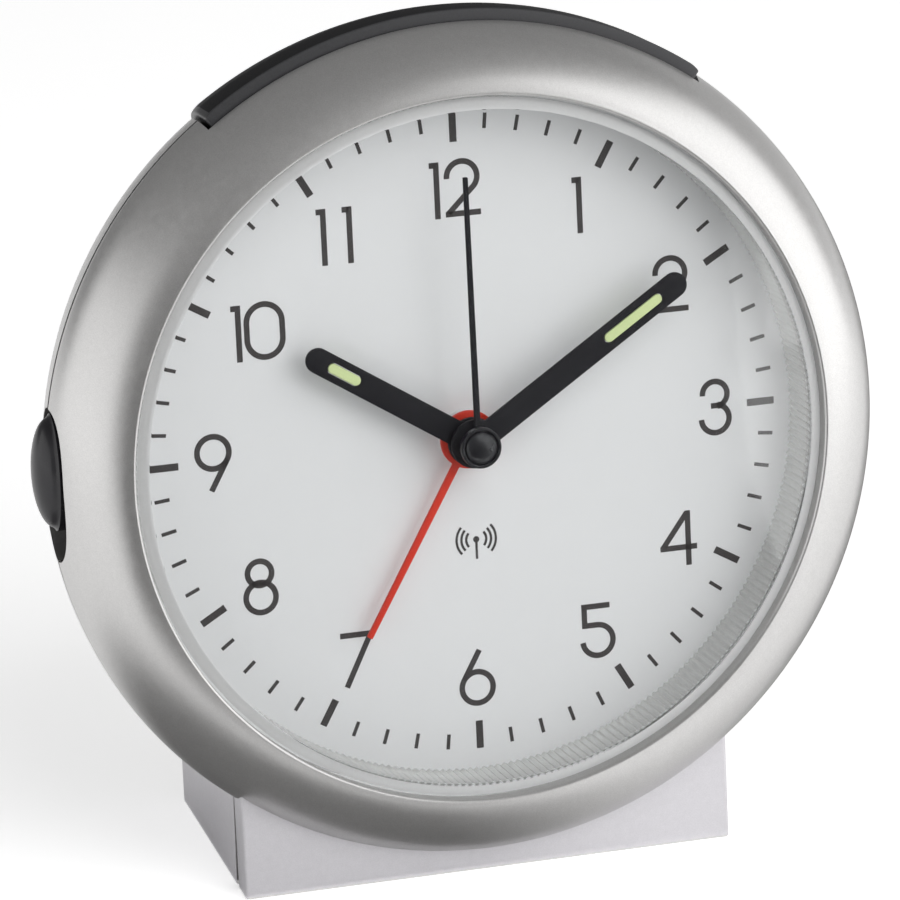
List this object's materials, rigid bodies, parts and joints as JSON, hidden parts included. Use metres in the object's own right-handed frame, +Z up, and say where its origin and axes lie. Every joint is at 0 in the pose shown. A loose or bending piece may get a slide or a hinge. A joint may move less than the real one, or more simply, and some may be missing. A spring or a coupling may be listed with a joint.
{
  "type": "radio-controlled alarm clock",
  "caption": "Round table alarm clock on a block foot, set by radio: fat silver ring, ribbed clear front, hour, minute, second and alarm hands, snooze bar on top, alarm slider at the side.",
  "frame": {"origin": "middle of the underside of the foot, on the table", "axes": "+Z up, -Y towards the viewer of the dial, +X to the viewer's right; the dial leans back 8.74 degrees"},
  "size_m": [0.1119, 0.0494, 0.112],
  "materials": {
    "silver_paint": "satin silver paint on moulded plastic",
    "clear_plastic": "clear polished plastic with a ribbed inner wall",
    "dial_paint": "pale silver dial print",
    "black_plastic": "fine moulded texture",
    "gloss_black": "glossy",
    "hand_black": "black paint on sheet metal",
    "hand_red": "red paint on sheet metal",
    "lume_paint": "luminous inlay",
    "white_nylon": "moulded",
    "case_grey": "moulded",
    "steel": "bright",
    "magnet_grey": "bare magnet",
    "copper": "enamelled copper wire",
    "board_green": "solder mask",
    "chip_black": "moulded",
    "ferrite": "pressed ferrite",
    "brass": "bright",
    "cell_wrap": "plain printed sleeve"
  },
  "bodies": {
    "housing": {"front_frame": "silver_paint", "rear_housing": "silver_paint", "crystal": "clear_plastic", "dial": "dial_paint", "seconds_stator": "steel", "seconds_coil": "copper", "minutes_stator": "steel", "minutes_coil": "copper", "movement_front_case": "case_grey", "movement_rear_case": "case_grey", "snooze_switch": "black_plastic", "slider_track": "black_plastic", "slide_switch": "steel", "set_button_switch": "chip_black", "receive_button_switch": "chip_black", "reset_button_switch": "chip_black", "circuit_board": "board_green", "receiver_chip": "chip_black", "quartz_can": "steel", "buzzer": "brass", "battery": "cell_wrap", "battery_contact": "steel", "battery_spring": "steel", "aerial_rod": "ferrite", "aerial_winding": "copper", "housing_screw_1": "steel", "housing_screw_2": "steel", "housing_screw_3": "steel", "housing_screw_4": "steel"},
    "second_hand": {"second_hand": "hand_black", "second_hand_cap": "gloss_black", "second_wheel": "steel"},
    "minute_hand": {"minute_hand": "hand_black", "minute_hand_lume": "lume_paint", "minute_wheel": "white_nylon"},
    "hour_hand": {"hour_hand": "hand_black", "hour_hand_lume": "lume_paint", "hour_wheel": "white_nylon"},
    "alarm_hand": {"alarm_hand": "hand_red", "alarm_wheel": "white_nylon"},
    "alarm_knob": {"alarm_knob": "black_plastic", "alarm_arbor": "white_nylon"},
    "seconds_reduction": {"seconds_reduction_wheel": "white_nylon"},
    "seconds_rotor": {"seconds_rotor": "magnet_grey"},
    "minutes_reduction": {"minutes_reduction_wheel": "white_nylon"},
    "minutes_rotor": {"minutes_rotor": "magnet_grey"},
    "motion_wheel": {"motion_wheel": "white_nylon"},
    "snooze_bar": {"snooze_bar": "black_plastic"},
    "alarm_slider": {"alarm_slider": "gloss_black"},
    "battery_cover": {"battery_cover": "silver_paint"},
    "set_button": {"set_button": "black_plastic"},
    "receive_button": {"receive_button": "black_plastic"},
    "reset_button": {"reset_button": "black_plastic"}
  },
  "joints": [
    {"name": "second_hand_spin", "type": "hinge", "parent": "housing", "child": "second_hand", "pos_m": [0, -0.00383, 0.05602], "axis": [0, 0.9884, -0.152], "continuous": true},
    {"name": "minute_hand_spin", "type": "hinge", "parent": "housing", "child": "minute_hand", "pos_m": [0, -0.00383, 0.05602], "axis": [0, 0.9884, -0.152], "continuous": true},
    {"name": "hour_hand_spin", "type": "hinge", "parent": "housing", "child": "hour_hand", "pos_m": [0, -0.00383, 0.05602], "axis": [0, 0.9884, -0.152], "continuous": true},
    {"name": "alarm_knob_turn", "type": "hinge", "parent": "housing", "child": "alarm_knob", "pos_m": [0, -0.00189, 0.06867], "axis": [0, 0.9884, -0.152], "continuous": true},
    {"name": "alarm_hand_spin", "type": "hinge", "parent": "housing", "child": "alarm_hand", "pos_m": [0, -0.00383, 0.05602], "axis": [0, 0.9884, -0.152], "continuous": true},
    {"name": "seconds_reduction_spin", "type": "hinge", "parent": "housing", "child": "seconds_reduction", "pos_m": [-0.0099, -0.00293, 0.0619], "axis": [0, 0.9884, -0.152], "continuous": true},
    {"name": "seconds_rotor_spin", "type": "hinge", "parent": "housing", "child": "seconds_rotor", "pos_m": [-0.0198, -0.00293, 0.0619], "axis": [0, 0.9884, -0.152], "continuous": true},
    {"name": "minutes_reduction_spin", "type": "hinge", "parent": "housing", "child": "minutes_reduction", "pos_m": [0.00577, -0.00535, 0.04614], "axis": [0, 0.9884, -0.152], "continuous": true},
    {"name": "minutes_rotor_spin", "type": "hinge", "parent": "housing", "child": "minutes_rotor", "pos_m": [0.01508, -0.00587, 0.04279], "axis": [0, 0.9884, -0.152], "continuous": true},
    {"name": "motion_wheel_spin", "type": "hinge", "parent": "housing", "child": "motion_wheel", "pos_m": [0.0105, -0.00295, 0.06177], "axis": [0, 0.9884, -0.152], "continuous": true},
    {"name": "snooze_press", "type": "slide", "parent": "housing", "child": "snooze_bar", "axis": [0, -0.152, -0.9884], "range_m": [0, 0.0007], "stiffness_N_per_m": 80, "springref_m": -0.002},
    {"name": "alarm_switch_slide", "type": "slide", "parent": "housing", "child": "alarm_slider", "axis": [0, -0.152, -0.9884], "range_m": [0, 0.0034]},
    {"name": "battery_cover_lift", "type": "slide", "parent": "housing", "child": "battery_cover", "axis": [0, 0.9884, -0.152], "range_m": [0, 0.03]},
    {"name": "set_press", "type": "slide", "parent": "housing", "child": "set_button", "axis": [0, -0.9884, 0.152], "range_m": [0, 0.0006], "stiffness_N_per_m": 50, "springref_m": -0.0005},
    {"name": "receive_press", "type": "slide", "parent": "housing", "child": "receive_button", "axis": [0, -0.9884, 0.152], "range_m": [0, 0.0006], "stiffness_N_per_m": 50, "springref_m": -0.0005},
    {"name": "reset_press", "type": "slide", "parent": "housing", "child": "reset_button", "axis": [0, -0.9884, 0.152], "range_m": [0, 0.0006], "stiffness_N_per_m": 50, "springref_m": -0.0005}
  ],
  "couplings": [
    {"joint": "seconds_reduction_spin", "follows": "second_hand_spin", "ratio": -6},
    {"joint": "seconds_rotor_spin", "follows": "second_hand_spin", "ratio": 30},
    {"joint": "minutes_reduction_spin", "follows": "minute_hand_spin", "ratio": -6},
    {"joint": "minutes_rotor_spin", "follows": "minute_hand_spin", "ratio": 30},
    {"joint": "motion_wheel_spin", "follows": "minute_hand_spin", "ratio": -0.33333},
    {"joint": "hour_hand_spin", "follows": "minute_hand_spin", "ratio": 0.083333},
    {"joint": "alarm_hand_spin", "follows": "alarm_knob_turn", "ratio": -0.33333}
  ]
}
